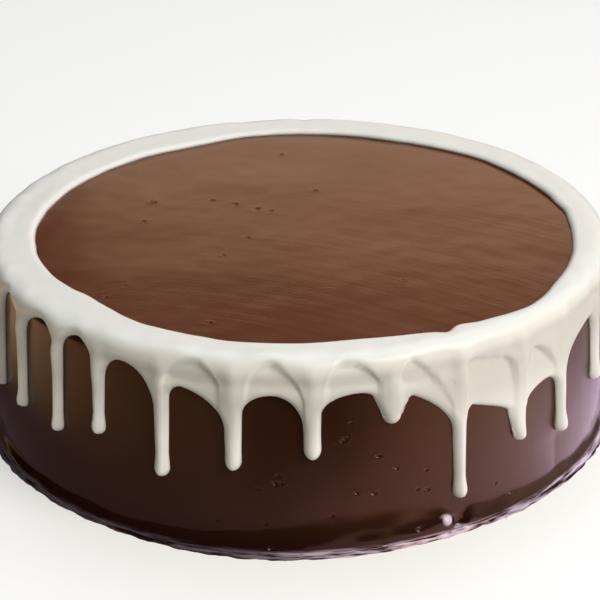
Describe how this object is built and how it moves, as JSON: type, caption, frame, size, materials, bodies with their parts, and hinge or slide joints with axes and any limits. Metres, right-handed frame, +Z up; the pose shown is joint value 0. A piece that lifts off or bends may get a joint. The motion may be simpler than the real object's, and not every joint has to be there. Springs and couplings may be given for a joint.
{
  "type": "chocolate cake",
  "caption": "Round uncut chocolate cake under a dark chocolate glaze, with white chocolate poured round its rim and running down the side in drips.",
  "frame": {"origin": "centre of the flat underside of the cake", "axes": "+Z up through the top of the cake, -Y towards the side shown in the picture, +X to its right"},
  "size_m": [0.249, 0.2499, 0.071],
  "materials": {
    "dark_glaze": "semi-gloss dark chocolate glaze, glossier and wetter at the foot",
    "white_chocolate": "satin ivory white chocolate"
  },
  "bodies": {
    "root": {"glazed_cake": "dark_glaze", "white_chocolate_rim": "white_chocolate"}
  },
  "joints": []
}
